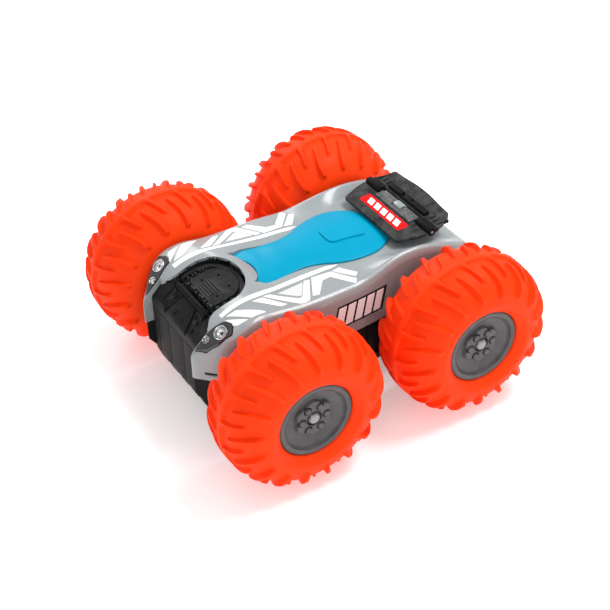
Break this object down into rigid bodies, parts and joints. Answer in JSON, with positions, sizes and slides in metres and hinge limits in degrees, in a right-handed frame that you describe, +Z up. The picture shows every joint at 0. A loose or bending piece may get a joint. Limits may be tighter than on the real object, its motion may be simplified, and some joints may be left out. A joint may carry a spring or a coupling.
{
  "type": "rc stunt car",
  "caption": "Remote control stunt car with four oversized lugged balloon tyres, a low two-part body, a raised rear wing with a tilting flap and skid-steer gear drive.",
  "frame": {"origin": "on the floor under the middle of the car, with the tyres resting on z = 0", "axes": "+X forward, along the wheelbase; +Y to the car's left, along the axles; +Z up"},
  "size_m": [0.2256, 0.2182, 0.106],
  "materials": {
    "body_silver": "gloss",
    "black_plastic": "satin",
    "canopy_blue": "gloss",
    "tyre_orange": "satin",
    "rim_grey": "satin",
    "steel": "satin",
    "lamp_chrome": "polished",
    "gear_nylon": "satin",
    "battery_wrap": "satin",
    "board_green": "satin",
    "livery_white": "gloss",
    "label_red": "gloss"
  },
  "bodies": {
    "chassis": {"axle_bush_front_left": "black_plastic", "axle_bush_front_right": "black_plastic", "axle_bush_rear_left": "black_plastic", "axle_bush_rear_right": "black_plastic", "gearbox_plate_left": "black_plastic", "motor_left": "steel", "lamp_pod_left": "black_plastic", "headlamp_left": "lamp_chrome", "sidelamp_left": "lamp_chrome", "gearbox_plate_right": "black_plastic", "motor_right": "steel", "lamp_pod_right": "black_plastic", "headlamp_right": "lamp_chrome", "sidelamp_right": "lamp_chrome", "upper_shell": "body_silver", "canopy": "canopy_blue", "chassis": "black_plastic", "nose_panel": "black_plastic", "engine_cover": "black_plastic", "nose_bar": "black_plastic", "tail_panel": "black_plastic", "wing_plate": "black_plastic", "wing_hinge_pin": "steel", "battery_pack": "battery_wrap", "circuit_board": "board_green", "chassis_screw_1": "steel", "chassis_screw_2": "steel", "chassis_screw_3": "steel", "chassis_screw_4": "steel"},
    "wheel_front_left": {"tyre_front_left": "tyre_orange", "rim_front_left": "rim_grey", "wheel_nut_front_left": "steel", "axle_front_left": "steel", "axle_gear_front_left": "gear_nylon"},
    "wheel_rear_left": {"tyre_rear_left": "tyre_orange", "rim_rear_left": "rim_grey", "wheel_nut_rear_left": "steel", "axle_rear_left": "steel", "axle_gear_rear_left": "gear_nylon"},
    "idler_front_left": {"idler_gear_front_left": "gear_nylon"},
    "idler_rear_left": {"idler_gear_rear_left": "gear_nylon"},
    "compound_left": {"compound_gear_left": "gear_nylon"},
    "pinion_left": {"motor_pinion_left": "gear_nylon"},
    "wheel_front_right": {"tyre_front_right": "tyre_orange", "rim_front_right": "rim_grey", "wheel_nut_front_right": "steel", "axle_front_right": "steel", "axle_gear_front_right": "gear_nylon"},
    "wheel_rear_right": {"tyre_rear_right": "tyre_orange", "rim_rear_right": "rim_grey", "wheel_nut_rear_right": "steel", "axle_rear_right": "steel", "axle_gear_rear_right": "gear_nylon"},
    "idler_front_right": {"idler_gear_front_right": "gear_nylon"},
    "idler_rear_right": {"idler_gear_rear_right": "gear_nylon"},
    "compound_right": {"compound_gear_right": "gear_nylon"},
    "pinion_right": {"motor_pinion_right": "gear_nylon"},
    "wing_flap": {"wing_flap": "black_plastic"},
    "battery_door": {"battery_door": "black_plastic"},
    "power_switch": {"power_switch": "black_plastic"}
  },
  "joints": [
    {"name": "wheel_front_left_spin", "type": "hinge", "parent": "chassis", "child": "wheel_front_left", "pos_m": [0.06, 0.0835, 0.053], "axis": [0, 1, 0], "continuous": true},
    {"name": "wheel_rear_left_spin", "type": "hinge", "parent": "chassis", "child": "wheel_rear_left", "pos_m": [-0.06, 0.0835, 0.053], "axis": [0, 1, 0], "continuous": true},
    {"name": "idler_front_left_spin", "type": "hinge", "parent": "chassis", "child": "idler_front_left", "pos_m": [0.0255, 0.037, 0.053], "axis": [0, 1, 0], "continuous": true},
    {"name": "idler_rear_left_spin", "type": "hinge", "parent": "chassis", "child": "idler_rear_left", "pos_m": [-0.0255, 0.037, 0.053], "axis": [0, 1, 0], "continuous": true},
    {"name": "compound_left_spin", "type": "hinge", "parent": "chassis", "child": "compound_left", "pos_m": [0, 0.035, 0.053], "axis": [0, 1, 0], "continuous": true},
    {"name": "pinion_left_spin", "type": "hinge", "parent": "chassis", "child": "pinion_left", "pos_m": [0.01125, 0.0325, 0.03351], "axis": [0, 1, 0], "continuous": true},
    {"name": "wheel_front_right_spin", "type": "hinge", "parent": "chassis", "child": "wheel_front_right", "pos_m": [0.06, -0.0835, 0.053], "axis": [0, 1, 0], "continuous": true},
    {"name": "wheel_rear_right_spin", "type": "hinge", "parent": "chassis", "child": "wheel_rear_right", "pos_m": [-0.06, -0.0835, 0.053], "axis": [0, 1, 0], "continuous": true},
    {"name": "idler_front_right_spin", "type": "hinge", "parent": "chassis", "child": "idler_front_right", "pos_m": [0.0255, -0.037, 0.053], "axis": [0, 1, 0], "continuous": true},
    {"name": "idler_rear_right_spin", "type": "hinge", "parent": "chassis", "child": "idler_rear_right", "pos_m": [-0.0255, -0.037, 0.053], "axis": [0, 1, 0], "continuous": true},
    {"name": "compound_right_spin", "type": "hinge", "parent": "chassis", "child": "compound_right", "pos_m": [0, -0.035, 0.053], "axis": [0, 1, 0], "continuous": true},
    {"name": "pinion_right_spin", "type": "hinge", "parent": "chassis", "child": "pinion_right", "pos_m": [-0.01125, -0.0325, 0.03351], "axis": [0, 1, 0], "continuous": true},
    {"name": "wing_flap_tilt", "type": "hinge", "parent": "chassis", "child": "wing_flap", "pos_m": [-0.07, 0, 0.0932], "axis": [0, 1, 0], "range_deg": [0, 30]},
    {"name": "battery_door_tilt", "type": "hinge", "parent": "chassis", "child": "battery_door", "pos_m": [-0.031, 0, 0.018], "axis": [0, -1, 0], "range_deg": [0, 15]},
    {"name": "power_switch_slide", "type": "slide", "parent": "chassis", "child": "power_switch", "axis": [1, 0, 0], "range_m": [0, 0.004]}
  ],
  "couplings": [
    {"joint": "wheel_rear_left_spin", "follows": "wheel_front_left_spin", "ratio": 1},
    {"joint": "idler_front_left_spin", "follows": "wheel_front_left_spin", "ratio": -1.0909},
    {"joint": "idler_rear_left_spin", "follows": "wheel_front_left_spin", "ratio": -1.0909},
    {"joint": "compound_left_spin", "follows": "wheel_front_left_spin", "ratio": 2},
    {"joint": "pinion_left_spin", "follows": "wheel_front_left_spin", "ratio": -7},
    {"joint": "wheel_rear_right_spin", "follows": "wheel_front_right_spin", "ratio": 1},
    {"joint": "idler_front_right_spin", "follows": "wheel_front_right_spin", "ratio": -1.0909},
    {"joint": "idler_rear_right_spin", "follows": "wheel_front_right_spin", "ratio": -1.0909},
    {"joint": "compound_right_spin", "follows": "wheel_front_right_spin", "ratio": 2},
    {"joint": "pinion_right_spin", "follows": "wheel_front_right_spin", "ratio": -7}
  ]
}
